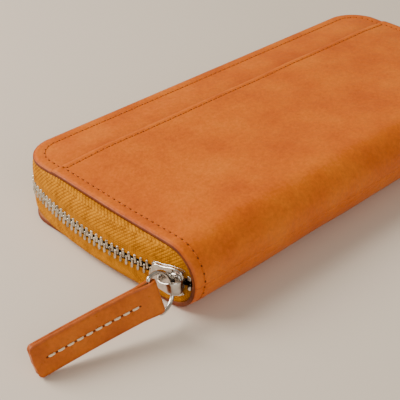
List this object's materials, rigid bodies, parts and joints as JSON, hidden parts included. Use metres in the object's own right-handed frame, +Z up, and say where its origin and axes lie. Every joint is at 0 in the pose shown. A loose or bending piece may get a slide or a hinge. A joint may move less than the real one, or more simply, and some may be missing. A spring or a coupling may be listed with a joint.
{
  "type": "zip around wallet",
  "caption": "Long zip around wallet with a folding spine, card pockets, a zipped coin pocket and a slider with a ring and leather pull tab.",
  "frame": {"origin": "middle of the flat bottom, where the wallet rests", "axes": "+X along the length, +Y towards the long side of the zip, +Z up through the thickness"},
  "size_m": [0.2543, 0.0952, 0.025],
  "materials": {
    "orange_leather": "soft grained, semi matt",
    "tab_leather": "smooth, semi gloss",
    "card_leather": "smooth matt",
    "lining_cloth": "woven twill",
    "zip_tape": "woven herringbone",
    "nickel": "polished nickel plate"
  },
  "bodies": {
    "back": {"back_cover": "orange_leather", "back_lining": "lining_cloth", "back_card_slot_1": "card_leather", "back_card_slot_2": "card_leather", "back_card_slot_3": "card_leather", "lower_zip_tape": "zip_tape", "lower_zip_teeth": "nickel", "lower_top_stop": "nickel", "lower_end_stop": "nickel", "left_gusset_lower": "lining_cloth", "right_gusset_lower": "lining_cloth"},
    "spine": {"spine_wrap": "orange_leather", "spine_lining": "lining_cloth", "coin_pocket_back": "lining_cloth", "coin_pocket_front": "lining_cloth", "coin_pocket_left_side": "lining_cloth", "coin_pocket_right_side": "lining_cloth", "coin_pocket_root": "lining_cloth", "coin_tape_lower": "zip_tape", "coin_tape_upper": "zip_tape", "coin_teeth_lower": "nickel", "coin_teeth_upper": "nickel", "coin_zip_stops": "nickel"},
    "front": {"front_panel": "orange_leather", "front_strip": "orange_leather", "front_lining": "lining_cloth", "front_card_slot_1": "card_leather", "front_card_slot_2": "card_leather", "front_card_slot_3": "card_leather", "upper_zip_tape": "zip_tape", "upper_zip_teeth": "nickel", "upper_top_stop": "nickel", "upper_end_stop": "nickel", "left_gusset_upper": "lining_cloth", "right_gusset_upper": "lining_cloth"},
    "slider": {"slider_body": "nickel", "slider_bail": "nickel"},
    "ring": {"pull_ring": "nickel"},
    "tab": {"pull_tab": "tab_leather"},
    "coin_slider": {"coin_slider": "nickel"},
    "coin_pull": {"coin_slider_pull": "nickel"}
  },
  "joints": [
    {"name": "spine_fold_lower", "type": "hinge", "parent": "back", "child": "spine", "pos_m": [0, -0.04284, 0.00366], "axis": [1, 0, 0], "range_deg": [0, 45], "deforming": ["left_gusset_lower", "right_gusset_lower"]},
    {"name": "spine_fold_upper", "type": "hinge", "parent": "spine", "child": "front", "pos_m": [0, -0.04284, 0.02134], "axis": [1, 0, 0], "range_deg": [0, 45], "deforming": ["left_gusset_upper", "right_gusset_upper"]},
    {"name": "slider_travel", "type": "hinge", "parent": "back", "child": "slider", "pos_m": [0.0487, -0.002, 0.0125], "axis": [0, 0, -1], "range_deg": [0, 24], "deforming": ["lower_zip_teeth", "upper_zip_teeth"]},
    {"name": "ring_swing", "type": "hinge", "parent": "slider", "child": "ring", "pos_m": [-0.10061, -0.03839, 0.01318], "axis": [-0.1028, 0.2767, 0.9554], "range_deg": [-30, 40]},
    {"name": "tab_swing", "type": "hinge", "parent": "ring", "child": "tab", "pos_m": [-0.1095, -0.0397, 0.0126], "axis": [-0.1028, 0.2767, 0.9554], "range_deg": [-45, 50]},
    {"name": "coin_slider_travel", "type": "slide", "parent": "spine", "child": "coin_slider", "axis": [1, 0, 0], "range_m": [0, 0.15], "deforming": ["coin_teeth_lower", "coin_teeth_upper"]},
    {"name": "coin_pull_swing", "type": "hinge", "parent": "coin_slider", "child": "coin_pull", "pos_m": [-0.077, 0.03605, 0.0125], "axis": [0, 0, 1], "range_deg": [0, 150]}
  ],
  "couplings": [
    {"joint": "spine_fold_upper", "follows": "spine_fold_lower", "ratio": 1}
  ]
}
